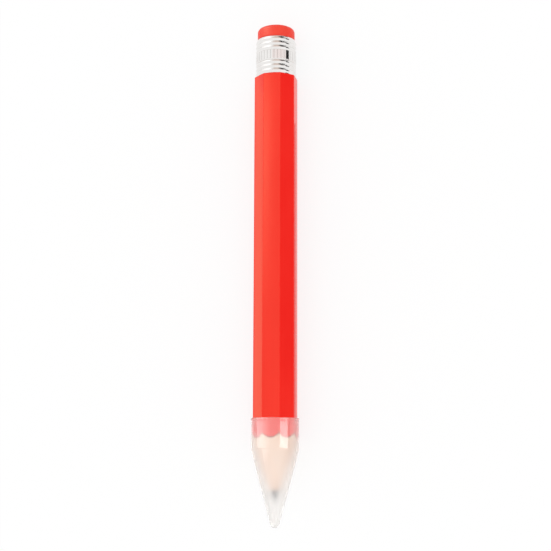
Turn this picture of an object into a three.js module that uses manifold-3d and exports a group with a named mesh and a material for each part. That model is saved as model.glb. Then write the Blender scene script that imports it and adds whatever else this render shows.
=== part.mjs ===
// A giant wooden pencil: an eight-sided lacquered barrel with a sharpened point under a clear
// push-on cap, and a ringed metal ferrule that holds a rubber eraser.
// It lies along Y with its point towards -Y, +Z up, in millimetres. The origin is below the
// middle of its length, on the surface that the cap's collar rests on.
import * as THREE from "three";
import { mergeVertices, toCreasedNormals } from "three/addons/utils/BufferGeometryUtils.js";
import Module from "manifold-3d";

// Barrel
const SIDES = 8;
const ACROSS_FLATS = 28.7; // over the lacquer
const BODY_LENGTH = 297; // tip of the lead to the shoulder under the ferrule
const POINT_HALF_ANGLE = THREE.MathUtils.degToRad(18.2); // of the sharpened cone
const COAT_THICKNESS = 0.3;
const TENON_STEP = 0.75; // from the wood's flats down to the round tenon in the ferrule
const LEAD_DIAMETER = 5.5;

// Ferrule: rings, a fluted band, and rings again
const FERRULE_WALL = 0.4; // at the bottom of the grooves between its rings
const FERRULE_LIP = 0.4; // plain edge at each end
const RINGS_PER_END = 3;
const RING_PITCH = 3.15;
const RING_HEIGHT = 0.6;
const BAND_LENGTH = 7.3;
const BAND_SLOPE = 0.5; // length of the slope at each end of the band
const FLUTES = 36;
const FLUTE_RADIUS = 1.4;
const FLUTE_DEPTH = 0.35;

// Eraser
const ERASER_SEAT = 13; // depth inside the ferrule
const ERASER_PROUD = 9.2; // height above the ferrule
const ERASER_EDGE = 3; // radius of its rounded edge

// Tip cap
const CAP_WALL = 0.6;
const CAP_TIP_ROOM = 16.4; // from the lead's tip to the inside of the cap's tip
const CAP_DOME_RADIUS = 2.8; // inside its rounded tip
const CAP_GRIP = 9.05; // from the sharpened corners back to the cap's rim
const CAP_SKIRT = 12.45; // from the sharpened corners forward to the end of the straight collar
const CAP_LIP = 0.2; // thickening outside the rim
const CAP_LIP_WIDTH = 2;
const FLATS_BEHIND_CAP = 2; // from the cap's rim to the start of the bare flats

// Clearances
const BOND_GAP = 0.1; // between glued, coated and crimped faces
const CAP_CLEARANCE = 0.15; // between the cap's collar and the barrel's corners

// Fineness of the round surfaces
const STEPS_PER_FLAT = 6;
const ROUND_STEPS = SIDES * STEPS_PER_FLAT;
const ARC_STEPS = 5;
const RING_STEPS = 4;
const FLUTE_STEPS = 12;
const WELD = 1e-4;
const CREASE_ANGLE = Math.PI / 7;

// Places along the pencil, measured from the tip of the lead
const POINT_SLOPE = Math.tan(POINT_HALF_ANGLE);
const FERRULE_LENGTH = 2 * (FERRULE_LIP + RINGS_PER_END * RING_PITCH) + BAND_LENGTH;
const ferruleStart = BODY_LENGTH + BOND_GAP;
const ferruleEnd = ferruleStart + FERRULE_LENGTH;
const tenonEnd = ferruleEnd - ERASER_SEAT - BOND_GAP;
const eraserEnd = ferruleEnd + ERASER_PROUD;

// Radii
const HALF_SIDE_ANGLE = Math.PI / SIDES;
const coatApothem = ACROSS_FLATS / 2;
const coatCorner = coatApothem / Math.cos(HALF_SIDE_ANGLE);
const coatInside = coatApothem - COAT_THICKNESS;
const woodApothem = coatInside - BOND_GAP;
const tenonRadius = woodApothem - TENON_STEP;
const leadRadius = LEAD_DIAMETER / 2;
const ferruleBore = tenonRadius + BOND_GAP;

// The sharpened corners set the place of the cap
const sharpenedCorner = coatCorner / POINT_SLOPE;
const capRim = sharpenedCorner + CAP_GRIP;
const capCollarEnd = sharpenedCorner - CAP_SKIRT;
const capTip = -CAP_TIP_ROOM - CAP_WALL;
const capBore = coatCorner + CAP_CLEARANCE;
const capRadius = capBore + CAP_WALL + CAP_LIP;

const wasm = await Module();
wasm.setup();

// A closed geometry as a solid that can be cut.
function solidOf(geometry) {
  const bare = geometry.clone();
  bare.deleteAttribute("normal");
  bare.deleteAttribute("uv");
  const merged = mergeVertices(bare, WELD);
  return new wasm.Manifold(
    new wasm.Mesh({
      numProp: 3,
      vertProperties: merged.getAttribute("position").array,
      triVerts: new Uint32Array(merged.index.array),
    }),
  );
}

function geometryOf(solid) {
  const mesh = solid.getMesh();
  return new THREE.BufferGeometry()
    .setAttribute("position", new THREE.BufferAttribute(mesh.vertProperties, 3))
    .setIndex(new THREE.BufferAttribute(mesh.triVerts, 1));
}

// Turns a profile of [radius, place] points about the pencil's axis.
function turned(profile) {
  const points = profile.map(([radius, place]) => new THREE.Vector2(radius, place));
  return new THREE.LatheGeometry(points, ROUND_STEPS);
}

// A bar with the barrel's flats, one of them facing down.
function barOfFlats(apothem, length) {
  const corner = apothem / Math.cos(HALF_SIDE_ANGLE);
  return new THREE.CylinderGeometry(
    corner, corner, length, SIDES, 1, false, HALF_SIDE_ANGLE,
  ).translate(0, length / 2, 0);
}

// A ring round the barrel, with the same number of steps on every flat, corners included.
// placeAt gives the place along the pencil for the ring's radius at each step.
function barrelRing(apothem, placeAt) {
  return Array.from({ length: ROUND_STEPS }, (_, step) => {
    const turn = (step / STEPS_PER_FLAT - 0.5) * 2 * HALF_SIDE_ANGLE;
    const fromFlat = ((step % STEPS_PER_FLAT) / STEPS_PER_FLAT - 0.5) * 2 * HALF_SIDE_ANGLE;
    const radius = apothem / Math.cos(fromFlat);
    return new THREE.Vector3(
      radius * Math.sin(turn), placeAt(radius), radius * Math.cos(turn),
    );
  });
}

// A closed wall skinned over rings of equal counts, the last joined back to the first.
function ringWall(rings) {
  const count = rings[0].length;
  const index = [];
  rings.forEach((_, ring) => {
    const next = (ring + 1) % rings.length;
    for (let step = 0; step < count; step++) {
      const after = (step + 1) % count;
      const [a, b] = [ring * count + step, ring * count + after];
      const [c, d] = [next * count + after, next * count + step];
      index.push(a, b, c, a, c, d);
    }
  });
  return new THREE.BufferGeometry().setFromPoints(rings.flat()).setIndex(index);
}

// The wood before it is split: a bar of flats, sharpened to a cone, turned down to a tenon
// behind a square shoulder, and bored for the lead.
function woodBlank() {
  const largest = coatCorner;
  const envelope = turned([
    [0, 0],
    [largest, largest / POINT_SLOPE],
    [largest, BODY_LENGTH],
    [tenonRadius, BODY_LENGTH],
    [tenonRadius, tenonEnd],
    [0, tenonEnd],
  ]);
  const bore = turned([
    [0, -BOND_GAP],
    [leadRadius + BOND_GAP, -BOND_GAP],
    [leadRadius + BOND_GAP, tenonEnd + BOND_GAP],
    [0, tenonEnd + BOND_GAP],
  ]);
  return solidOf(barOfFlats(woodApothem, tenonEnd + BOND_GAP))
    .intersect(solidOf(envelope))
    .subtract(solidOf(bore));
}

// One half of the wood: side is 1 for the half above the glue line and -1 for the half below.
function slat(side) {
  const room = 2 * coatCorner;
  const half = new THREE.BoxGeometry(room, 2 * tenonEnd, room);
  half.translate(0, tenonEnd / 2, side * (room + BOND_GAP) / 2);
  return geometryOf(woodBlank().intersect(solidOf(half)));
}

function lead() {
  return turned([
    [0, 0],
    [leadRadius, leadRadius / POINT_SLOPE],
    [leadRadius, tenonEnd],
    [0, tenonEnd],
  ]);
}

// The lacquer covers the flats, and was sharpened away with the wood, which leaves a
// scalloped edge. A ring behind the cap's rim makes each bare flat a face of its own.
function coat() {
  const onPoint = (radius) => radius / POINT_SLOPE;
  const bareFlats = () => capRim + FLATS_BEHIND_CAP;
  const shoulder = () => BODY_LENGTH;
  return ringWall([
    barrelRing(coatApothem, onPoint),
    barrelRing(coatApothem, bareFlats),
    barrelRing(coatApothem, shoulder),
    barrelRing(coatInside, shoulder),
    barrelRing(coatInside, onPoint),
  ]);
}

// The round rings at one end of the ferrule, from a groove at start to a groove at the end.
function ringProfile(start, grooveRadius) {
  return Array.from({ length: RINGS_PER_END * RING_STEPS + 1 }, (_, step) => {
    const rings = step / RING_STEPS;
    const rise = Math.abs(Math.sin(Math.PI * rings));
    return [grooveRadius + RING_HEIGHT * rise, start + RING_PITCH * rings];
  });
}

function ferrule() {
  const groove = ferruleBore + FERRULE_WALL;
  const crest = groove + RING_HEIGHT;
  const lowerRings = ferruleStart + FERRULE_LIP;
  const band = lowerRings + RINGS_PER_END * RING_PITCH;
  const upperRings = band + BAND_LENGTH;
  const sleeve = solidOf(
    turned([
      [ferruleBore, ferruleStart],
      [groove, ferruleStart],
      ...ringProfile(lowerRings, groove),
      [crest, band + BAND_SLOPE],
      [crest, upperRings - BAND_SLOPE],
      ...ringProfile(upperRings, groove),
      [groove, ferruleEnd],
      [ferruleBore, ferruleEnd],
      [ferruleBore, ferruleStart],
    ]),
  );
  const fluteLength = BAND_LENGTH - 2 * BAND_SLOPE;
  const cutter = new THREE.CylinderGeometry(
    FLUTE_RADIUS, FLUTE_RADIUS, fluteLength, FLUTE_STEPS,
  ).translate(crest - FLUTE_DEPTH + FLUTE_RADIUS, band + BAND_LENGTH / 2, 0);
  let fluted = sleeve;
  for (let flute = 0; flute < FLUTES; flute++) {
    const turn = (2 * Math.PI * flute) / FLUTES;
    fluted = fluted.subtract(solidOf(cutter.clone().rotateY(turn)));
  }
  return geometryOf(fluted);
}

function eraser() {
  const edge = Array.from({ length: ARC_STEPS + 1 }, (_, step) => {
    const turn = (Math.PI / 2) * (step / ARC_STEPS);
    return [
      tenonRadius - ERASER_EDGE * (1 - Math.cos(turn)),
      eraserEnd - ERASER_EDGE * (1 - Math.sin(turn)),
    ];
  });
  const foot = tenonEnd + BOND_GAP;
  return turned([[0, foot], [tenonRadius, foot], ...edge, [0, eraserEnd]]);
}

// The cap's inside, or with an offset its outside: a dome, a straight taper and a collar.
function capProfile(offset) {
  const domeCentre = -CAP_TIP_ROOM + CAP_DOME_RADIUS;
  const reach = capCollarEnd - domeCentre;
  const taper =
    Math.acos(CAP_DOME_RADIUS / Math.hypot(capBore, reach)) - Math.atan2(reach, capBore);
  const dome = CAP_DOME_RADIUS + offset;
  const radius = capBore + offset;
  const collarEnd = domeCentre + (radius * Math.cos(taper) - dome) / Math.sin(taper);
  const arc = Array.from({ length: ARC_STEPS + 1 }, (_, step) => {
    const turn = (Math.PI / 2 - taper) * (step / ARC_STEPS);
    return [dome * Math.sin(turn), domeCentre - dome * Math.cos(turn)];
  });
  return [...arc, [radius, collarEnd], [radius, capRim]];
}

function tipCap() {
  const outside = capProfile(CAP_WALL).slice(0, -1);
  const inside = capProfile(0).reverse();
  const collar = capBore + CAP_WALL;
  const lipStart = capRim - CAP_LIP_WIDTH;
  const lip = [
    [collar, lipStart],
    [collar + CAP_LIP, lipStart + CAP_LIP],
    [collar + CAP_LIP, capRim],
  ];
  return turned([...outside, ...lip, ...inside]);
}

function piece(name, geometry, finish) {
  const shape = toCreasedNormals(geometry, CREASE_ANGLE);
  const mesh = new THREE.Mesh(shape, new THREE.MeshStandardMaterial(finish));
  mesh.name = name;
  return mesh;
}

const wood = { color: 0xe9cfa8, roughness: 0.65, metalness: 0 };
const graphite = { color: 0x3b3b3f, roughness: 0.45, metalness: 0.2 };
const lacquer = { color: 0xe8251d, roughness: 0.2, metalness: 0 };
const brightMetal = { color: 0xdcdcda, roughness: 0.22, metalness: 1 };
const rubber = { color: 0xe8433d, roughness: 0.8, metalness: 0 };
const clearPlastic = {
  color: 0xf3f5f6, roughness: 0.12, metalness: 0, transparent: true, opacity: 0.35,
};

const pencil = new THREE.Group();
pencil.position.set(0, -(capTip + eraserEnd) / 2, capRadius);
pencil.add(
  piece("upper_slat", slat(1), wood),
  piece("lower_slat", slat(-1), wood),
  piece("graphite_lead", lead(), graphite),
  piece("lacquer_coat", coat(), lacquer),
  piece("ferrule", ferrule(), brightMetal),
  piece("eraser", eraser(), rubber),
  piece("tip_cap", tipCap(), clearPlastic),
);

const part = new THREE.Group();
part.add(pencil);

export default part;
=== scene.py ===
"""A giant wooden pencil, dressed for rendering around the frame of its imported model.

It lies along Y on a pale floor, with its point towards -Y under a clear cap and its eraser
towards +Y. Lengths are in metres.
"""
import math

import bmesh
import bpy
from mathutils import Matrix, Vector, noise

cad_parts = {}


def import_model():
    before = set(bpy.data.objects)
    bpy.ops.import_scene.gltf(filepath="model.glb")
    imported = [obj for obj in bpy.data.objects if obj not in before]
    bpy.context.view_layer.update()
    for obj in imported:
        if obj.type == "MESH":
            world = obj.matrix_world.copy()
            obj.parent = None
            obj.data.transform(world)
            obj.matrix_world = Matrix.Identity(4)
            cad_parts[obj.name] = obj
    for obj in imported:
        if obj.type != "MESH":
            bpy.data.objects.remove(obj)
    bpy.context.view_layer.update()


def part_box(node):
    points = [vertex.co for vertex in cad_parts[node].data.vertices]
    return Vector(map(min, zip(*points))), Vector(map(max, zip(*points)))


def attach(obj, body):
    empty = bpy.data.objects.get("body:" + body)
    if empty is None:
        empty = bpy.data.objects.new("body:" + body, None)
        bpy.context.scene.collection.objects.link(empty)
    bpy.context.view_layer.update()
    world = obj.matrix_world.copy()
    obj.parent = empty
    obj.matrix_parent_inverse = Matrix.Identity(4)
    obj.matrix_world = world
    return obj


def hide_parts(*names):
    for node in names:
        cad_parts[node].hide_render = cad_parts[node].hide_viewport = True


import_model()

MM = 0.001

# Places and sizes from the frame, with the thickness of the coat, which it doesn't give
coat_low, coat_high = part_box("lacquer_coat")
lead_low, lead_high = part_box("graphite_lead")
slat_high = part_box("upper_slat")[1]
ferrule_low, ferrule_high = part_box("ferrule")
eraser_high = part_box("eraser")[1]
cap_low, cap_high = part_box("tip_cap")

AXIS_HEIGHT = (coat_low.z + coat_high.z) / 2
LEAD_TIP = lead_low.y
SHOULDER = coat_high.y
TENON_END = slat_high.y
APOTHEM = coat_high.x
COAT_THICKNESS = 0.3 * MM
POINT_SLOPE = (APOTHEM - COAT_THICKNESS) / (coat_low.y - LEAD_TIP)
LEAD_RADIUS = lead_high.x
ERASER_RADIUS = eraser_high.x
RING_CREST = ferrule_high.x
CAP_RADIUS = cap_high.x

# Barrel, with ripples in repeats in a metre
SIDES = 8
SIDE_TURN = 2 * math.pi / SIDES
EDGE_RADIUS = 1.0 * MM
FLAT_CROWN = 0.1 * MM
SHOULDER_ROUND = 0.6 * MM
SCALLOP_NIBBLE = 0.14 * MM
SCALLOP_RIPPLES = 900
WOOD_FIT = 0.01 * MM
GLUE_LINE = 0.02 * MM
LEAD_FIT = 0.02 * MM
LEAD_TIP_ROUND = 0.25 * MM
EDGE_RING = 0.3 * MM
BARREL_START = LEAD_TIP + 48 * MM
BARREL_RINGS = 16
FLAT_STEPS = 12
EDGE_STEPS = 6
CONE_STEPS = 16
ROUND_STEPS = 8
LEAD_STEPS = 80
COAT_CREASE = 15
SLAT_CREASE = 15
LEAD_CREASE = 30

# Ferrule, with the hollow that is painted darker, as painted shade, as a share of a flute
FERRULE_BORE = ERASER_RADIUS + 0.1 * MM
FERRULE_LIP = 0.4 * MM
FERRULE_LIP_BEND = FERRULE_LIP / 3
FERRULE_LIP_TUCK = FERRULE_LIP / 4
FERRULE_MIDDLE = (ferrule_low.y + ferrule_high.y) / 2
RINGS_PER_END = 3
RING_HEIGHT = 0.6 * MM
RING_SOFTNESS = 0.16
BAND_LENGTH = 7.3 * MM
BAND_SLOPE = 0.5 * MM
FLUTES = 36
FLUTE_DEPTH = 0.03 * MM
FLUTE_FLATNESS = 10
FLUTE_TURN = math.radians(-1)
FLUTE_HOLLOW = 0.3
STEPS_PER_FLUTE = 16
STEPS_PER_RING = 14
BAND_STEPS = 14
FERRULE_CREASE = 35

# Eraser, with lumps in repeats in a metre
ERASER_FOOT_GAP = 0.1 * MM
ERASER_EDGE = 3 * MM
ERASER_PINCH = 0.35 * MM
ERASER_PINCH_LENGTH = 1.2 * MM
ERASER_UNEVEN = 0.06 * MM
ERASER_LUMPS = 260
ERASER_STEPS = 144
ERASER_END_RINGS = 8
ERASER_CREASE = 40

# Tip cap
CAP_WALL = 0.6 * MM
CAP_LIP = 0.2 * MM
CAP_LIP_WIDTH = 2 * MM
CAP_DOME = 2.8 * MM
CAP_COLLAR = 21.5 * MM
CAP_FILLET = 10 * MM
CAP_RIM_ROUND = 0.22 * MM
CAP_RIM_EDGE = 0.5 * MM
CAP_RING = 1 * MM
CAP_STEPS = 160
CAP_CREASE = 25


# Mesh building

def skin(rings, joined=False):
    """A closed mesh over rings of points. A ring of one point is a pole."""
    shell = bmesh.new()
    rows = [[shell.verts.new(point) for point in ring] for ring in rings]
    pairs = list(zip(rows, rows[1:]))
    if joined:
        pairs.append((rows[-1], rows[0]))
    for first, second in pairs:
        count = max(len(first), len(second))
        for step in range(count):
            after = (step + 1) % count
            corners = [
                first[step % len(first)],
                first[after % len(first)],
                second[after % len(second)],
                second[step % len(second)],
            ]
            shell.faces.new(list(dict.fromkeys(corners)))
    if not joined:
        for row in (rows[0], rows[-1]):
            if len(row) > 2:
                shell.faces.new(row)
    bmesh.ops.recalc_face_normals(shell, faces=shell.faces)
    return shell


def piece(name, shell, node, body, material, crease):
    """Makes a mesh a named piece that rides on a body and stands for a node of the frame.

    Edges that turn by more than the crease, in degrees, stay sharp.
    """
    limit = math.radians(crease)
    for face in shell.faces:
        face.smooth = True
    for edge in shell.edges:
        edge.smooth = edge.calc_face_angle(0) < limit
    mesh = bpy.data.meshes.new(name)
    shell.to_mesh(mesh)
    shell.free()
    thing = bpy.data.objects.new(name, mesh)
    bpy.context.scene.collection.objects.link(thing)
    mesh.materials.append(material)
    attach(thing, body)
    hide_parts(node)
    return thing


def on_axis(radius, place, turn):
    """The point at a radius from the pencil's axis, at a place along it."""
    return Vector((
        radius * math.cos(turn), place, AXIS_HEIGHT + radius * math.sin(turn),
    ))


def turned(profile, steps):
    """A mesh turned about the axis from (radius, place) points that start and end on it."""
    rings = []
    for radius, place in profile:
        count = steps if radius > 0 else 1
        rings.append([
            on_axis(radius, place, 2 * math.pi * step / count) for step in range(count)
        ])
    return skin(rings)


def arc(centre_radius, centre_place, radius, start, end, steps):
    """Profile points on an arc. Its angle is 0 towards +Y and a quarter turn outwards."""
    points = []
    for step in range(steps + 1):
        turn = start + (end - start) * step / steps
        points.append((
            centre_radius + radius * math.sin(turn),
            centre_place + radius * math.cos(turn),
        ))
    return points


def fine(profile, longest):
    """A profile with points added, so that no stretch of it is longer than longest."""
    points = profile[:1]
    for start, end in zip(profile, profile[1:]):
        count = math.ceil(math.dist(start, end) / longest)
        for step in range(1, count + 1):
            part = step / count
            points.append(tuple(a + (b - a) * part for a, b in zip(start, end)))
    return points


def barrel_section(apothem, edge_radius):
    """Points (x, z) once round the barrel: slightly crowned flats joined by rounded edges."""
    half_flat = (apothem - edge_radius) * math.tan(SIDE_TURN / 2)
    points = []

    def add(facing, out, along):
        points.append((
            out * math.cos(facing) - along * math.sin(facing),
            out * math.sin(facing) + along * math.cos(facing),
        ))

    for side in range(SIDES):
        facing = side * SIDE_TURN
        for step in range(FLAT_STEPS + 1):
            across = 2 * step / FLAT_STEPS - 1
            add(facing, apothem - FLAT_CROWN * across ** 2, across * half_flat)
        for step in range(1, EDGE_STEPS):
            turn = SIDE_TURN * step / EDGE_STEPS
            add(
                facing,
                apothem - FLAT_CROWN - edge_radius * (1 - math.cos(turn)),
                half_flat + edge_radius * math.sin(turn),
            )
    return points


def ring_of(section, place):
    """A ring over a section, where place gives the place along the pencil at each point."""
    return [Vector((x, place(x, z), AXIS_HEIGHT + z)) for x, z in section]


def sharpened(x, z):
    """Where the sharpened cone meets a point of the barrel's section, a little unevenly."""
    nibble = SCALLOP_NIBBLE * noise.noise(Vector((x, 0.0, z)) * SCALLOP_RIPPLES)
    return LEAD_TIP + math.hypot(x, z) / POINT_SLOPE + nibble


# The pieces

def lacquer_coat(material, cut_edge):
    """The coat over the flats, scalloped at the point and turned in over the shoulder."""
    inside = APOTHEM - COAT_THICKNESS
    inside_edge = EDGE_RADIUS - COAT_THICKNESS
    outer = barrel_section(APOTHEM, EDGE_RADIUS)
    inner = barrel_section(inside, inside_edge)
    hem = [
        Vector((x, z)).normalized() * (FERRULE_BORE + COAT_THICKNESS) for x, z in outer
    ]
    rings = [ring_of(outer, sharpened)]
    rings.append(ring_of(outer, lambda x, z: sharpened(x, z) + EDGE_RING))
    barrel_end = SHOULDER - SHOULDER_ROUND - EDGE_RING
    for step in range(BARREL_RINGS + 1):
        place = BARREL_START + (barrel_end - BARREL_START) * step / BARREL_RINGS
        rings.append(ring_of(outer, lambda x, z: place))
    for step in range(ROUND_STEPS + 1):
        turn = math.pi / 2 * step / ROUND_STEPS
        drawn_in = SHOULDER_ROUND * (1 - math.cos(turn))
        place = SHOULDER - SHOULDER_ROUND * (1 - math.sin(turn))
        section = barrel_section(APOTHEM - drawn_in, EDGE_RADIUS)
        rings.append(ring_of(section, lambda x, z: place))
    rings.append(ring_of(hem, lambda x, z: SHOULDER))
    rings.append(ring_of(hem, lambda x, z: SHOULDER - COAT_THICKNESS))
    rings.append(ring_of(inner, lambda x, z: SHOULDER - COAT_THICKNESS))
    rings.append(ring_of(inner, sharpened))
    shell = skin(rings, joined=True)
    facing_point = -math.sin(math.atan(POINT_SLOPE)) / 2
    for face in shell.faces:
        face.material_index = int(face.normal.y < facing_point)
    coat = piece("red_lacquer", shell, "lacquer_coat", "pencil", material, COAT_CREASE)
    coat.data.materials.append(cut_edge)
    return coat


def slat(name, node, side, material):
    """One half of the wood, above (1) or below (-1) the glue line, made angle by angle."""
    apothem = APOTHEM - COAT_THICKNESS - WOOD_FIT
    section = barrel_section(apothem, EDGE_RADIUS - COAT_THICKNESS)
    first = FLAT_STEPS // 2
    count = SIDES // 2 * (FLAT_STEPS + EDGE_STEPS)
    bore = LEAD_RADIUS + LEAD_FIT
    shoulder = SHOULDER - COAT_THICKNESS - WOOD_FIT
    rings = []
    for step in range(count + 1):
        x, z = section[first + step]
        radius = math.hypot(x, z)
        turn = side * math.atan2(max(z, 0), x)
        cone = [
            bore + (radius - bore) * part / CONE_STEPS for part in range(CONE_STEPS + 1)
        ]
        profile = [(r, LEAD_TIP + r / POINT_SLOPE) for r in cone]
        profile += [
            (radius, shoulder),
            (ERASER_RADIUS, shoulder),
            (ERASER_RADIUS, TENON_END),
            (bore, TENON_END),
        ]
        lift = Vector((0, 0, side * GLUE_LINE / 2))
        rings.append([on_axis(r, place, turn) + lift for r, place in profile])
    return piece(name, skin(rings), node, "pencil", material, SLAT_CREASE)


def graphite_lead(material):
    """The lead, from its rounded tip to the end of the tenon."""
    half_angle = math.atan(POINT_SLOPE)
    centre = LEAD_TIP + LEAD_TIP_ROUND / math.sin(half_angle)
    tip = arc(0, centre, LEAD_TIP_ROUND, math.pi, math.pi / 2 + half_angle, ROUND_STEPS)
    tip[0] = (0, tip[0][1])
    cone_start = tip[-1][0]
    cone = [
        cone_start + (LEAD_RADIUS - cone_start) * part / CONE_STEPS
        for part in range(1, CONE_STEPS + 1)
    ]
    profile = tip + [(r, LEAD_TIP + r / POINT_SLOPE) for r in cone]
    profile += [(LEAD_RADIUS, TENON_END), (0, TENON_END)]
    shell = turned(profile, LEAD_STEPS)
    return piece(
        "graphite_core", shell, "graphite_lead", "pencil", material, LEAD_CREASE,
    )


def ferrule_profile():
    """Points (radius, place, fluting) along the outside of the ferrule."""
    groove = RING_CREST - RING_HEIGHT
    half = ferrule_high.y - FERRULE_MIDDLE
    band = BAND_LENGTH / 2
    pitch = (half - FERRULE_LIP - band) / RINGS_PER_END
    side = []
    for step in range(BAND_STEPS // 2 + 1):
        side.append((RING_CREST, (band - BAND_SLOPE) * 2 * step / BAND_STEPS, 1))
    for step in range(RINGS_PER_END * STEPS_PER_RING + 1):
        rings = step / STEPS_PER_RING
        wave = math.hypot(math.sin(math.pi * rings), RING_SOFTNESS)
        rise = (wave - RING_SOFTNESS) / (math.hypot(1, RING_SOFTNESS) - RING_SOFTNESS)
        side.append((groove + RING_HEIGHT * rise, band + pitch * rings, 0))
    side.append((groove, half - FERRULE_LIP_BEND, 0))
    side.append((groove - FERRULE_LIP_TUCK, half, 0))
    lower = [(radius, FERRULE_MIDDLE - along, fluting) for radius, along, fluting in side[:0:-1]]
    upper = [(radius, FERRULE_MIDDLE + along, fluting) for radius, along, fluting in side]
    return lower + upper


def ferrule(material, shaded_metal):
    """The metal sleeve: three rings at each end, and between them a band of flutes with painted
    shade in their hollows.
    """
    count = FLUTES * STEPS_PER_FLUTE
    facet = RING_CREST * (1 - math.cos(math.pi / FLUTES))
    rings = []
    for radius, place, fluting in ferrule_profile():
        ring = []
        for step in range(count):
            across = 2 * (step % STEPS_PER_FLUTE) / STEPS_PER_FLUTE - 1
            depth = facet * (1 - across ** 2) + FLUTE_DEPTH * (1 - across ** FLUTE_FLATNESS)
            turn = FLUTE_TURN + 2 * math.pi * step / count
            ring.append(on_axis(radius - depth * fluting, place, turn))
        rings.append(ring)
    for place in (ferrule_high.y, ferrule_low.y):
        rings.append([
            on_axis(FERRULE_BORE, place, FLUTE_TURN + 2 * math.pi * step / count)
            for step in range(count)
        ])
    shell = skin(rings, joined=True)
    # Faces in the hollows of the band's flutes take the darker metal, as painted shade
    for face in shell.faces:
        x, y, z = face.calc_center_median() - Vector((0, FERRULE_MIDDLE, AXIS_HEIGHT))
        flute = (math.atan2(z, x) - FLUTE_TURN) / (2 * math.pi / FLUTES)
        on_band = abs(y) < BAND_LENGTH / 2 - BAND_SLOPE
        outside = math.hypot(x, z) > RING_CREST - RING_HEIGHT
        hollow = abs(2 * (flute % 1) - 1) < FLUTE_HOLLOW
        face.material_index = int(on_band and outside and hollow)
    sleeve = piece(
        "ringed_ferrule", shell, "ferrule", "pencil", material, FERRULE_CREASE,
    )
    sleeve.data.materials.append(shaded_metal)
    return sleeve


def eraser(material):
    """The rubber plug, pinched by the ferrule's mouth, with a rounded edge and an uneven skin."""
    foot = TENON_END + ERASER_FOOT_GAP
    mouth = ferrule_high.y
    flat = ERASER_RADIUS - ERASER_EDGE
    profile = [(0, foot), (ERASER_RADIUS, foot), (ERASER_RADIUS, mouth - ERASER_PINCH_LENGTH)]
    for step in range(-ROUND_STEPS + 1, ROUND_STEPS + 1):
        along = step / ROUND_STEPS
        pinch = ERASER_PINCH * (1 + math.cos(math.pi * along)) / 2
        profile.append((ERASER_RADIUS - pinch, mouth + ERASER_PINCH_LENGTH * along))
    profile += arc(
        flat, eraser_high.y - ERASER_EDGE, ERASER_EDGE, math.pi / 2, 0, 2 * ROUND_STEPS,
    )
    for ring in range(ERASER_END_RINGS - 1, -1, -1):
        profile.append((flat * ring / ERASER_END_RINGS, eraser_high.y))
    shell = turned(profile, ERASER_STEPS)
    shell.normal_update()
    for vert in shell.verts:
        if vert.co.y > mouth + ERASER_PINCH_LENGTH / 2:
            lump = noise.noise(vert.co * ERASER_LUMPS) - 1
            vert.co += vert.normal * ERASER_UNEVEN * lump
    return piece(
        "rubber_plug", shell, "eraser", "pencil", material, ERASER_CREASE,
    )


def cap_side(offset):
    """The cap's profile from its tip to the collar: its inside, or with an offset its outside."""
    bore = CAP_RADIUS - CAP_LIP - CAP_WALL
    dome_centre = cap_low.y + CAP_WALL + CAP_DOME
    corner = cap_high.y - CAP_COLLAR
    reach = corner - dome_centre
    taper = math.acos(CAP_DOME / math.hypot(bore, reach)) - math.atan2(reach, bore)
    dome = CAP_DOME + offset
    radius = bore + offset
    corner = dome_centre + (radius * math.cos(taper) - dome) / math.sin(taper)
    fillet = CAP_FILLET + offset
    back = fillet * math.tan(taper / 2)
    points = arc(0, dome_centre, dome, math.pi, math.pi / 2 + taper, 2 * ROUND_STEPS)
    points[0] = (0, points[0][1])
    points += arc(
        radius - fillet, corner + back, fillet, math.pi / 2 + taper, math.pi / 2, ROUND_STEPS,
    )
    return points


def tip_cap(glossy, frosted, shaded_rim):
    """The clear cap: a thin wall, glossy outside and frosted inside, with a lip at its rim."""
    bore = CAP_RADIUS - CAP_LIP - CAP_WALL
    collar = bore + CAP_WALL
    rim = cap_high.y
    lip_start = rim - CAP_LIP_WIDTH
    rounding = CAP_RIM_ROUND
    outside = cap_side(CAP_WALL)
    for step in range(ROUND_STEPS + 1):
        part = step / ROUND_STEPS
        rise = CAP_LIP * (1 - math.cos(math.pi * part)) / 2
        outside.append((collar + rise, lip_start + CAP_LIP * (2 * part - 1)))
    outside += arc(
        CAP_RADIUS - rounding, rim - rounding, rounding, math.pi / 2, 0, ROUND_STEPS,
    )
    inside = arc(bore + rounding, rim - rounding, rounding, 0, -math.pi / 2, ROUND_STEPS)
    inside += cap_side(0)[::-1]
    shell = turned(fine(outside + inside, CAP_RING), CAP_STEPS)
    for face in shell.faces:
        centre = face.calc_center_median()
        outwards = Vector((centre.x, 0, centre.z - AXIS_HEIGHT))
        face.material_index = int(face.normal.dot(outwards) < 0)
        # Faces near the rim take the darker plastic, as painted shade
        if centre.y > rim - CAP_RIM_EDGE:
            face.material_index = 2
    cap = piece("clear_tip_cap", shell, "tip_cap", "cap", glossy, CAP_CREASE)
    cap.data.materials.append(frosted)
    cap.data.materials.append(shaded_rim)
    cap.visible_diffuse = False
    cap.visible_shadow = False
    return cap


# Materials
#
# A noise is its repeats in a metre, its stretch along X, Y and Z, and its detail.
# A bump is its distance and its strength. A pair of roughnesses is the least and the most.

EVEN = (1, 1, 1)
NOISE_ROUGHNESS = 0.55
NOISE_LOW = 0.3
NOISE_HIGH = 0.7
MIX_FACTOR = 0
MIX_FIRST = 6
MIX_SECOND = 7
MIX_RESULT = 2

LACQUER_REDS = ((0.92, 0.013, 0.011), (0.97, 0.017, 0.013))
LACQUER_TINT = (1.0, 0.88, 0.5)
LACQUER_ROUGHNESS = (0.13, 0.19)
LACQUER_GRAIN = (420, (1, 0.025, 1), 5)
LACQUER_PEEL = (620, EVEN, 2)
LACQUER_CLOUD = (34, (1, 0.4, 1), 3)
LACQUER_GRAIN_BUMP = (0.03 * MM, 0.35)
LACQUER_PEEL_BUMP = (0.03 * MM, 0.3)

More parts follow.
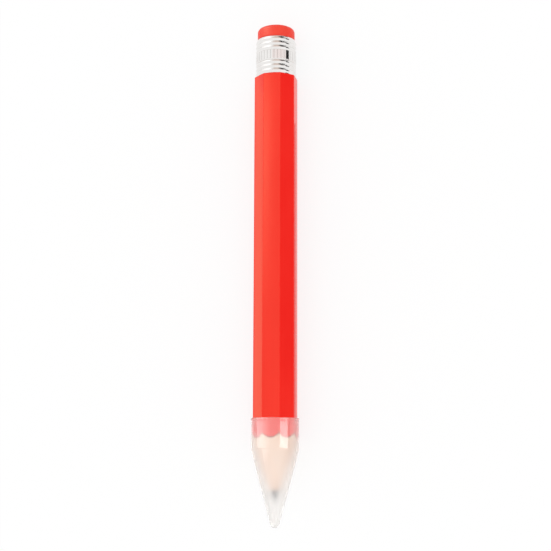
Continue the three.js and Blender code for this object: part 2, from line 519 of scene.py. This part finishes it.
CUT_EDGE_REDS = ((0.30, 0.02, 0.015), (0.55, 0.06, 0.04))
CUT_EDGE_ROUGHNESS = (0.5, 0.7)
CUT_EDGE_LAYERS = (700, EVEN, 4)
CUT_EDGE_BUMP = (0.05 * MM, 0.4)

WOOD_TONES = (
    (0.32, (0.80, 0.49, 0.34)),
    (0.47, (0.985, 0.71, 0.555)),
    (0.7, (0.995, 0.77, 0.63)),
)
WOOD_STREAK = (0.66, 0.38, 0.23)
WOOD_STREAK_SHARE = 0.5
WOOD_STREAK_RANGE = (0.56, 0.68)
WOOD_FIBRE = (0.76, 0.46, 0.30)
WOOD_FIBRE_SHARE = 0.3
WOOD_ROUGHNESS = (0.55, 0.75)
WOOD_FIBRES = (900, (1, 0.03, 1), 6)
WOOD_FIGURE = (130, (1, 0.06, 1), 4)
WOOD_STREAKS = (300, (1, 0.08, 1), 2)
WOOD_MARKS = (1600, (0.05, 1, 0.05), 2)
WOOD_FIBRE_BUMP = (0.05 * MM, 0.4)
WOOD_MARK_BUMP = (0.04 * MM, 0.3)

GRAPHITE_GREYS = ((0.35, (0.08, 0.08, 0.085)), (0.7, (0.15, 0.15, 0.158)))
GRAPHITE_METAL = 0.35
GRAPHITE_ROUGHNESS = (0.34, 0.5)
GRAPHITE_SPECKS = (2400, EVEN, 3)
GRAPHITE_MARKS = (3000, (0.05, 1, 0.05), 2)
GRAPHITE_BUMP = (0.03 * MM, 0.4)

BRIGHT_METAL = ((0.81, 0.79, 0.77), (0.88, 0.865, 0.85))
# Painted shade: darker metal for the hollows of the flutes
SHADED_FLUTE_METAL = ((0.63, 0.61, 0.595), (0.72, 0.70, 0.685))
METAL_ROUGHNESS = (0.1, 0.15)
METAL_CLOUD = (90, EVEN, 3)
METAL_LINES = (2600, (1, 0.06, 1), 3)
METAL_BUMP = (0.01 * MM, 0.25)

RUBBER_REDS = ((0.90, 0.026, 0.015), (0.95, 0.036, 0.021))
RUBBER_DUST = (0.95, 0.2, 0.15)
RUBBER_DUST_SHARE = 0.1
RUBBER_DUST_RANGE = (0.5, 0.75)
RUBBER_ROUGHNESS = (0.45, 0.62)
RUBBER_SHINE = 0.6
RUBBER_TINT = (1.0, 0.85, 0.6)
RUBBER_SHEEN = 0.05
RUBBER_SHEEN_ROUGHNESS = 0.4
RUBBER_SHEEN_TINT = (1.0, 0.82, 0.8)
RUBBER_SPECKS = (1500, EVEN, 3)
RUBBER_CLOUD = (120, EVEN, 4)
RUBBER_SKIN = (1100, EVEN, 5)
RUBBER_BUMP = (0.06 * MM, 0.5)

# The plastic's clearness and roughness are each (at the tip, at the rim)
CLEAR_PLASTIC = (0.992, 0.976, 0.96)
TIP_PLASTIC = (0.984, 0.97, 0.955)
TIP_PLASTIC_END = 0.25
CLEAR_PLASTIC_START = 0.45
PLASTIC_INDEX = 1.49
PLASTIC_UNEVEN = 0.02
PLASTIC_CLOUD = (70, EVEN, 3)
PLASTIC_FLOW = (160, (1, 0.15, 1), 2)
PLASTIC_BUMP = (0.05 * MM, 0.25)
GLOSSY_CLEARNESS = (0.78, 0.95)
GLOSSY_ROUGHNESS = (0.24, 0.06)
FROSTED_CLEARNESS = (0.78, 0.92)
FROSTED_ROUGHNESS = (0.85, 0.56)
# Painted shade: the rim's darker plastic
SHADED_RIM_PLASTIC = (0.8, 0.74, 0.71)
RIM_CLEARNESS = 0.95
RIM_ROUGHNESS = 0.25


def new_material(name):
    """A material with one Principled shader, and that shader."""
    material = bpy.data.materials.new(name)
    material.use_nodes = True
    tree = material.node_tree
    tree.nodes.clear()
    output = tree.nodes.new("ShaderNodeOutputMaterial")
    shader = tree.nodes.new("ShaderNodeBsdfPrincipled")
    tree.links.new(shader.outputs["BSDF"], output.inputs["Surface"])
    return material, shader


def noise_of(tree, scale, stretch, detail):
    """Noise in the piece's own space."""
    place = tree.nodes.new("ShaderNodeTexCoord")
    mapping = tree.nodes.new("ShaderNodeMapping")
    mapping.inputs["Scale"].default_value = stretch
    texture = tree.nodes.new("ShaderNodeTexNoise")
    texture.inputs["Scale"].default_value = scale
    texture.inputs["Detail"].default_value = detail
    texture.inputs["Roughness"].default_value = NOISE_ROUGHNESS
    tree.links.new(place.outputs["Object"], mapping.inputs["Vector"])
    tree.links.new(mapping.outputs["Vector"], texture.inputs["Vector"])
    return texture.outputs["Fac"]


def along(tree):
    """The place along the pencil."""
    place = tree.nodes.new("ShaderNodeTexCoord")
    parts = tree.nodes.new("ShaderNodeSeparateXYZ")
    tree.links.new(place.outputs["Object"], parts.inputs["Vector"])
    return parts.outputs["Y"]


def ramp(tree, value, stops):
    """A colour ramp over stops of (position, colour)."""
    node = tree.nodes.new("ShaderNodeValToRGB")
    elements = node.color_ramp.elements
    while len(elements) < len(stops):
        elements.new(0.5)
    for element, (position, colour) in zip(elements, stops):
        element.position = position
        element.color = (*colour, 1)
    tree.links.new(value, node.inputs["Fac"])
    return node.outputs["Color"]


def blend(tree, value, colours):
    """A colour between two colours, over the range of a noise."""
    return ramp(tree, value, list(zip((NOISE_LOW, NOISE_HIGH), colours)))


def spread(tree, value, low, high, start=NOISE_LOW, end=NOISE_HIGH):
    """Maps start..end of a value to low..high."""
    node = tree.nodes.new("ShaderNodeMapRange")
    for name, number in (
        ("From Min", start), ("From Max", end), ("To Min", low), ("To Max", high),
    ):
        node.inputs[name].default_value = number
    tree.links.new(value, node.inputs["Value"])
    return node.outputs["Result"]


def mixed(tree, value, first, second):
    """Mixes two colours, each a socket or a plain colour, by a value."""
    node = tree.nodes.new("ShaderNodeMix")
    node.data_type = "RGBA"
    tree.links.new(value, node.inputs[MIX_FACTOR])
    for place, colour in ((MIX_FIRST, first), (MIX_SECOND, second)):
        socket = node.inputs[place]
        if isinstance(colour, tuple):
            socket.default_value = (*colour, 1)
        else:
            tree.links.new(colour, socket)
    return node.outputs[MIX_RESULT]


def bumped(tree, shader, *layers):
    """Bumps on a shader from layers of (height, distance, strength)."""
    normal = None
    for height, distance, strength in layers:
        node = tree.nodes.new("ShaderNodeBump")
        node.inputs["Distance"].default_value = distance
        node.inputs["Strength"].default_value = strength
        tree.links.new(height, node.inputs["Height"])
        if normal is not None:
            tree.links.new(normal, node.inputs["Normal"])
        normal = node.outputs["Normal"]
    tree.links.new(normal, shader.inputs["Normal"])


def lacquer():
    """Glossy red lacquer over wood: faint grain below it and a slight orange peel."""
    material, shader = new_material("lacquer_red")
    tree = material.node_tree
    grain = noise_of(tree, *LACQUER_GRAIN)
    peel = noise_of(tree, *LACQUER_PEEL)
    cloud = noise_of(tree, *LACQUER_CLOUD)
    tree.links.new(blend(tree, cloud, LACQUER_REDS), shader.inputs["Base Color"])
    tree.links.new(spread(tree, cloud, *LACQUER_ROUGHNESS), shader.inputs["Roughness"])
    shader.inputs["Specular Tint"].default_value = (*LACQUER_TINT, 1)
    bumped(tree, shader, (grain, *LACQUER_GRAIN_BUMP), (peel, *LACQUER_PEEL_BUMP))
    return material


def lacquer_edge():
    """The cut edge of the coats of lacquer, dull and dark."""
    material, shader = new_material("lacquer_cut_edge")
    tree = material.node_tree
    layers = noise_of(tree, *CUT_EDGE_LAYERS)
    tree.links.new(blend(tree, layers, CUT_EDGE_REDS), shader.inputs["Base Color"])
    tree.links.new(spread(tree, layers, *CUT_EDGE_ROUGHNESS), shader.inputs["Roughness"])
    bumped(tree, shader, (layers, *CUT_EDGE_BUMP))
    return material


def wood():
    """Pale sharpened wood: growth rings, fine fibres and faint cutter marks round the cone."""
    material, shader = new_material("pale_wood")
    tree = material.node_tree
    fibres = noise_of(tree, *WOOD_FIBRES)
    figure = noise_of(tree, *WOOD_FIGURE)
    streaks = noise_of(tree, *WOOD_STREAKS)
    marks = noise_of(tree, *WOOD_MARKS)
    streak = spread(tree, streaks, 0, WOOD_STREAK_SHARE, *WOOD_STREAK_RANGE)
    tone = mixed(tree, streak, ramp(tree, figure, WOOD_TONES), WOOD_STREAK)
    colour = mixed(tree, spread(tree, fibres, 0, WOOD_FIBRE_SHARE), tone, WOOD_FIBRE)
    tree.links.new(colour, shader.inputs["Base Color"])
    tree.links.new(spread(tree, fibres, *WOOD_ROUGHNESS), shader.inputs["Roughness"])
    bumped(tree, shader, (fibres, *WOOD_FIBRE_BUMP), (marks, *WOOD_MARK_BUMP))
    return material


def graphite():
    """Dark graphite with a soft metallic shine and fine marks round it."""
    material, shader = new_material("graphite_grey")
    tree = material.node_tree
    specks = noise_of(tree, *GRAPHITE_SPECKS)
    marks = noise_of(tree, *GRAPHITE_MARKS)
    tree.links.new(ramp(tree, specks, GRAPHITE_GREYS), shader.inputs["Base Color"])
    shader.inputs["Metallic"].default_value = GRAPHITE_METAL
    tree.links.new(spread(tree, specks, *GRAPHITE_ROUGHNESS), shader.inputs["Roughness"])
    bumped(tree, shader, (marks, *GRAPHITE_BUMP))
    return material


def drawn_metal(name, tones):
    """Drawn metal: a little uneven, with fine lines along it."""
    material, shader = new_material(name)
    tree = material.node_tree
    cloud = noise_of(tree, *METAL_CLOUD)
    lines = noise_of(tree, *METAL_LINES)
    tree.links.new(blend(tree, cloud, tones), shader.inputs["Base Color"])
    shader.inputs["Metallic"].default_value = 1
    tree.links.new(spread(tree, cloud, *METAL_ROUGHNESS), shader.inputs["Roughness"])
    bumped(tree, shader, (lines, *METAL_BUMP))
    return material


def bright_metal():
    """The ferrule's metal."""
    return drawn_metal("bright_metal", BRIGHT_METAL)


def shaded_flute_metal():
    """Darker metal in the hollows of the flutes: painted shade."""
    return drawn_metal("shaded_flute_metal", SHADED_FLUTE_METAL)


def eraser_rubber():
    """Soft red rubber with a fine matt skin and pale dust on it."""
    material, shader = new_material("red_rubber")
    tree = material.node_tree
    specks = noise_of(tree, *RUBBER_SPECKS)
    cloud = noise_of(tree, *RUBBER_CLOUD)
    skin_noise = noise_of(tree, *RUBBER_SKIN)
    dust = spread(tree, specks, 0, RUBBER_DUST_SHARE, *RUBBER_DUST_RANGE)
    colour = mixed(tree, dust, blend(tree, cloud, RUBBER_REDS), RUBBER_DUST)
    tree.links.new(colour, shader.inputs["Base Color"])
    tree.links.new(spread(tree, skin_noise, *RUBBER_ROUGHNESS), shader.inputs["Roughness"])
    shader.inputs["Specular IOR Level"].default_value = RUBBER_SHINE
    shader.inputs["Specular Tint"].default_value = (*RUBBER_TINT, 1)
    shader.inputs["Sheen Weight"].default_value = RUBBER_SHEEN
    shader.inputs["Sheen Roughness"].default_value = RUBBER_SHEEN_ROUGHNESS
    shader.inputs["Sheen Tint"].default_value = (*RUBBER_SHEEN_TINT, 1)
    bumped(tree, shader, (skin_noise, *RUBBER_BUMP))
    return material


def new_plastic(name):
    """A plastic with slight flow marks, its shader, and a noise for its roughness."""
    material, shader = new_material(name)
    tree = material.node_tree
    shader.inputs["IOR"].default_value = PLASTIC_INDEX
    bumped(tree, shader, (noise_of(tree, *PLASTIC_FLOW), *PLASTIC_BUMP))
    return material, shader, noise_of(tree, *PLASTIC_CLOUD)


def hazy_plastic(name, clearness, roughness):
    """Slightly milky plastic, hazier towards the tip."""
    material, shader, cloud = new_plastic(name)
    tree = material.node_tree
    from_tip = spread(tree, along(tree), 0, 1, cap_low.y, cap_high.y)
    colour = ramp(tree, from_tip, [
        (TIP_PLASTIC_END, TIP_PLASTIC),
        (CLEAR_PLASTIC_START, CLEAR_PLASTIC),
    ])
    tree.links.new(colour, shader.inputs["Base Color"])
    clear = spread(tree, from_tip, *clearness, 0, 1)
    tree.links.new(clear, shader.inputs["Transmission Weight"])
    rough = tree.nodes.new("ShaderNodeMath")
    rough.operation = "ADD"
    uneven = spread(tree, cloud, -PLASTIC_UNEVEN, PLASTIC_UNEVEN)
    tree.links.new(spread(tree, from_tip, *roughness, 0, 1), rough.inputs[0])
    tree.links.new(uneven, rough.inputs[1])
    tree.links.new(rough.outputs["Value"], shader.inputs["Roughness"])
    return material


def glossy_plastic():
    """The outside of the cap."""
    return hazy_plastic("glossy_plastic", GLOSSY_CLEARNESS, GLOSSY_ROUGHNESS)


def frosted_plastic():
    """The inside of the cap, which blurs what lies away from it."""
    return hazy_plastic("frosted_plastic", FROSTED_CLEARNESS, FROSTED_ROUGHNESS)


def shaded_rim_plastic():
    """The rim of the cap, painted darker as painted shade for the dark line where it is looked at
    along the wall.
    """
    material, shader, cloud = new_plastic("shaded_rim_plastic")
    tree = material.node_tree
    shader.inputs["Base Color"].default_value = (*SHADED_RIM_PLASTIC, 1)
    shader.inputs["Transmission Weight"].default_value = RIM_CLEARNESS
    smoothest, roughest = RIM_ROUGHNESS - PLASTIC_UNEVEN, RIM_ROUGHNESS + PLASTIC_UNEVEN
    tree.links.new(spread(tree, cloud, smoothest, roughest), shader.inputs["Roughness"])
    return material


# Stage, light and camera

# Cards and floor
DARK = (0.02, 0.02, 0.02)
SHADOW_RED_GREY = (0.58, 0.4, 0.4)
WARM_GLOW = (1, 0.95, 0.25)
WARM_GREY = (0.75, 0.64, 0.58)
WARM_WHITE = (0.98, 0.89, 0.88)
FLOOR_SIZE = 8
FLOOR_WHITE = (0.9, 0.9, 0.9)
FLOOR_SHADE = (0.2, 0.2, 0.2)
FLOOR_GLOW = 0.8
FLOOR_ROUGHNESS = 0.9
PANEL_LIFT = 4 * MM
STAGE_NEAR = 0.65
PAST_ERASER = (0.45, 6)
FLOOR_CARD_GAP = 3 * MM
FLOOR_CARD_WIDTH = 50 * MM
FLOOR_CARD_SHORT = 30 * MM

# A card's shade, turns round the axis, places along it and distance from it
CARDS = {
    "right_strip": (DARK, (69, 95), (-0.05, 1.7), 3),
    "end_card_right": (DARK, (69, 99), PAST_ERASER, STAGE_NEAR),
    "end_card_middle": (DARK, (41, 65), PAST_ERASER, STAGE_NEAR),
    "end_card_left": (WARM_GREY, (-15, 41), PAST_ERASER, STAGE_NEAR),
    "warm_card": (WARM_WHITE, (-3, 62), (0.2, 0.45), STAGE_NEAR),
}

# A lamp's radiance, turns round the axis, places along it and distance from it
CAP_NEAR = 0.5
BARREL_LIGHT = (2.6, (-30, -13.5), (0.13, 0.545), 1.25)
FERRULE_LEFT = (0.35, (-115, -30), (0.56, 1.9), STAGE_NEAR)
ERASER_LEFT = (20, (-69, -39), (0.5, 0.72), STAGE_NEAR)
CAP_RIGHT = (7, (35.8, 74.4), (-0.118, -0.058), CAP_NEAR)
CAP_LEFT = (2.4, (-54, -10), (-0.36, -0.2), CAP_NEAR)
COLLAR_LEFT = (3.3, (-84, -8), (-0.12, 0.04), CAP_NEAR)

# Fades: the side along which a lamp dims, and the share of it over which it does
BARREL_FADE = ("X", 0.9)
CAP_FADE = ("Y", 0.6)

# Lamps on the floor: radiance, and places across
BARREL_GLOW = 0.55
BARREL_GLOW_ACROSS = (-0.2, -0.08)
BARREL_GLOW_PAST = 30 * MM
CAP_GLOW = 0.3
CAP_GLOWS = {"cap_floor_left": (-0.1, -0.02), "cap_floor_right": (0.02, 0.1)}
CAP_GLOW_PAST = 0.1

# Camera
LENS = 85
CAMERA_TILT = math.radians(9.64)
CAMERA_ROLL = math.radians(12.19)
CAMERA_TWIST = math.radians(0.17)
CAMERA_DISTANCE = 0.9014
CAMERA_AIM = -3.2 * MM
CAMERA_REACH = 100


def panel(turns, places, distance):
    """Length, breadth and stand of a flat panel that faces the pencil.

    Turns are degrees round the axis, from above towards the right, and places are along it.
    """
    middle = math.radians(sum(turns) / 2)
    half = math.radians(turns[1] - turns[0]) / 2
    place = on_axis(distance, sum(places) / 2, math.pi / 2 - middle)
    back = Vector((math.sin(middle), 0, math.cos(middle)))
    right = Vector((0, 1, 0))
    turned_to = Matrix((right, back.cross(right), back)).transposed().to_4x4()
    stand = Matrix.Translation(place) @ turned_to
    return places[1] - places[0], 2 * distance * math.tan(half), stand


def floor_panel(across, places):
    """Length, breadth and stand of a panel just above the floor that faces up."""
    place = Vector((sum(across) / 2, sum(places) / 2, PANEL_LIFT))
    face_up = Matrix(((0, 1, 0), (1, 0, 0), (0, 0, -1))).to_4x4()
    return places[1] - places[0], across[1] - across[0], Matrix.Translation(place) @ face_up


def seen_directly(tree):
    """1 for rays from the camera, mirrors and glass, and 0 for the light on other surfaces."""
    path = tree.nodes.new("ShaderNodeLightPath")
    total = path.outputs["Is Camera Ray"]
    for name in ("Is Glossy Ray", "Is Transmission Ray"):
        node = tree.nodes.new("ShaderNodeMath")
        node.operation = "MAXIMUM"
        tree.links.new(total, node.inputs[0])
        tree.links.new(path.outputs[name], node.inputs[1])
        total = node.outputs["Value"]
    return total


def stage_plane(name, length, breadth, stand, material):
    """A flat sheet of the stage, which isn't part of the object."""
    shell = bmesh.new()
    bmesh.ops.create_grid(shell, x_segments=1, y_segments=1, size=0.5)
    bmesh.ops.scale(shell, verts=shell.verts, vec=(length, breadth, 1))
    mesh = bpy.data.meshes.new(name)
    shell.to_mesh(mesh)
    shell.free()
    mesh.materials.append(material)
    plane = bpy.data.objects.new(name, mesh)
    plane.matrix_world = stand
    bpy.context.scene.collection.objects.link(plane)
    return plane


def floor():
    """A white floor that touches the cap's rim and the end of the barrel.

    Where it is seen, most of its white is a glow, so that the shadow on it is faint.
    """
    material, shader = new_material("pale_floor")
    tree = material.node_tree
    direct = seen_directly(tree)
    colour = mixed(tree, direct, FLOOR_WHITE, FLOOR_SHADE)
    tree.links.new(colour, shader.inputs["Base Color"])
    shader.inputs["Roughness"].default_value = FLOOR_ROUGHNESS
    shader.inputs["Specular IOR Level"].default_value = 0
    shader.inputs["Emission Color"].default_value = (1, 1, 1, 1)
    glow = spread(tree, direct, 0, FLOOR_GLOW, 0, 1)
    tree.links.new(glow, shader.inputs["Emission Strength"])
    rise = AXIS_HEIGHT - APOTHEM
    run = SHOULDER - cap_high.y
    slope = math.atan2(rise, run)
    stand = Matrix.Translation((0, cap_high.y, 0)) @ Matrix.Rotation(slope, 4, "X")
    stage_plane("floor", FLOOR_SIZE, FLOOR_SIZE, stand, material)


def card(name, shade, length, breadth, stand):
    """A grey card that is seen only in what mirrors it."""
    material, shader = new_material(name)
    shader.inputs["Base Color"].default_value = (0, 0, 0, 1)
    shader.inputs["Specular IOR Level"].default_value = 0
    shader.inputs["Emission Color"].default_value = (*shade, 1)
    shader.inputs["Emission Strength"].default_value = 1
    sheet = stage_plane(name, length, breadth, stand, material)
    sheet.visible_camera = False
    sheet.visible_diffuse = False
    sheet.visible_transmission = False
    sheet.visible_shadow = False


def cards():
    """Cards that the barrel and the ferrule mirror on the right, past the eraser and below. The
    red-grey ones below are painted shade for the floor's shadow and red bounce beside the barrel.
    """
    for name, (shade, *place) in CARDS.items():
        card(name, shade, *panel(*place))
    near = APOTHEM + FLOOR_CARD_GAP
    far = near + FLOOR_CARD_WIDTH
    barrel = (cap_high.y, SHOULDER - FLOOR_CARD_SHORT)
    # Painted shade: red-grey cards for the shaded, red-lit floor beside the barrel
    card("floor_shadow_card_left", SHADOW_RED_GREY, *floor_panel((-far, -near), barrel))
    card("floor_shadow_card_right", SHADOW_RED_GREY, *floor_panel((near, far), barrel))


def world():
    """Even white light from all round."""
    space = bpy.data.worlds.new("white_room")
    space.use_nodes = True
    tree = space.node_tree
    background = next(node for node in tree.nodes if node.type == "BACKGROUND")
    background.inputs["Color"].default_value = (1, 1, 1, 1)
    background.inputs["Strength"].default_value = 1
    bpy.context.scene.world = space


def softbox(name, radiance, length, breadth, stand, lit):
    """A soft rectangular lamp, with its brightness given as radiance.

    It gives one piece a highlight, and no other light.
    """
    lamp = bpy.data.lights.new(name, "AREA")
    lamp.shape = "RECTANGLE"
    lamp.size = length
    lamp.size_y = breadth
    lamp.energy = radiance * math.pi * length * breadth
    box = bpy.data.objects.new(name, lamp)
    box.matrix_world = stand
    box.visible_camera = False
    box.visible_diffuse = False
    box.visible_transmission = False
    bpy.context.scene.collection.objects.link(box)
    receivers = bpy.data.collections.new(f"{name}_lit")
    receivers.objects.link(lit)
    box.light_linking.receiver_collection = receivers
    return box


def faded(box, side, end):
    """Dims a lamp from an end, given in parts of its length (X) or breadth (Y), to nothing."""
    box.data.use_nodes = True
    tree = box.data.node_tree
    emission = next(node for node in tree.nodes if node.type == "EMISSION")
    place = tree.nodes.new("ShaderNodeNewGeometry")
    parts = tree.nodes.new("ShaderNodeSeparateXYZ")
    tree.links.new(place.outputs["Parametric"], parts.inputs["Vector"])
    strength = spread(tree, parts.outputs[side], 0, 1, 0, end)
    tree.links.new(strength, emission.inputs["Strength"])


def facing(name, lamp, lit):
    """A lamp that faces the pencil."""
    radiance, *place = lamp
    return softbox(name, radiance, *panel(*place), lit)


def lights(coat, sleeve, plug, cap):
    """Highlights for the pieces. All other light comes from the world."""
    faded(facing("barrel_light", BARREL_LIGHT, coat), *BARREL_FADE)
    barrel = (cap_high.y, SHOULDER + BARREL_GLOW_PAST)
    glow = softbox("barrel_floor", BARREL_GLOW, *floor_panel(BARREL_GLOW_ACROSS, barrel), coat)
    glow.data.color = WARM_GLOW
    facing("ferrule_left", FERRULE_LEFT, sleeve)
    facing("eraser_left", ERASER_LEFT, plug)
    facing("cap_right", CAP_RIGHT, cap)
    faded(facing("cap_left", CAP_LEFT, cap), *CAP_FADE)
    faded(facing("collar_left", COLLAR_LEFT, cap), *CAP_FADE)
    below_cap = (cap_low.y - CAP_GLOW_PAST, cap_high.y)
    for name, across in CAP_GLOWS.items():
        softbox(name, CAP_GLOW, *floor_panel(across, below_cap), cap)


def camera():
    """The camera, above the pencil and leaning to its right, as in the photo."""
    back = Vector((
        math.cos(CAMERA_TILT) * math.sin(CAMERA_ROLL),
        -math.sin(CAMERA_TILT),
        math.cos(CAMERA_TILT) * math.cos(CAMERA_ROLL),
    ))
    right = Vector((0, 1, 0)).cross(back).normalized()
    right = Matrix.Rotation(CAMERA_TWIST, 3, back) @ right
    up = back.cross(right)
    place = Vector((0, CAMERA_AIM, AXIS_HEIGHT)) + back * CAMERA_DISTANCE
    data = bpy.data.cameras.new("camera")
    data.lens = LENS
    data.clip_end = CAMERA_REACH
    view = bpy.data.objects.new("camera", data)
    turn = Matrix((right, up, back)).transposed().to_4x4()
    view.matrix_world = Matrix.Translation(place) @ turn
    bpy.context.scene.collection.objects.link(view)
    bpy.context.scene.camera = view


bpy.context.scene.view_settings.view_transform = "Standard"
pale_wood = wood()
coat = lacquer_coat(lacquer(), lacquer_edge())
slat("wood_slat_upper", "upper_slat", 1, pale_wood)
slat("wood_slat_lower", "lower_slat", -1, pale_wood)
graphite_lead(graphite())
sleeve = ferrule(bright_metal(), shaded_flute_metal())
plug = eraser(eraser_rubber())
cap = tip_cap(glossy_plastic(), frosted_plastic(), shaded_rim_plastic())
floor()
cards()
world()
lights(coat, sleeve, plug, cap)
camera()
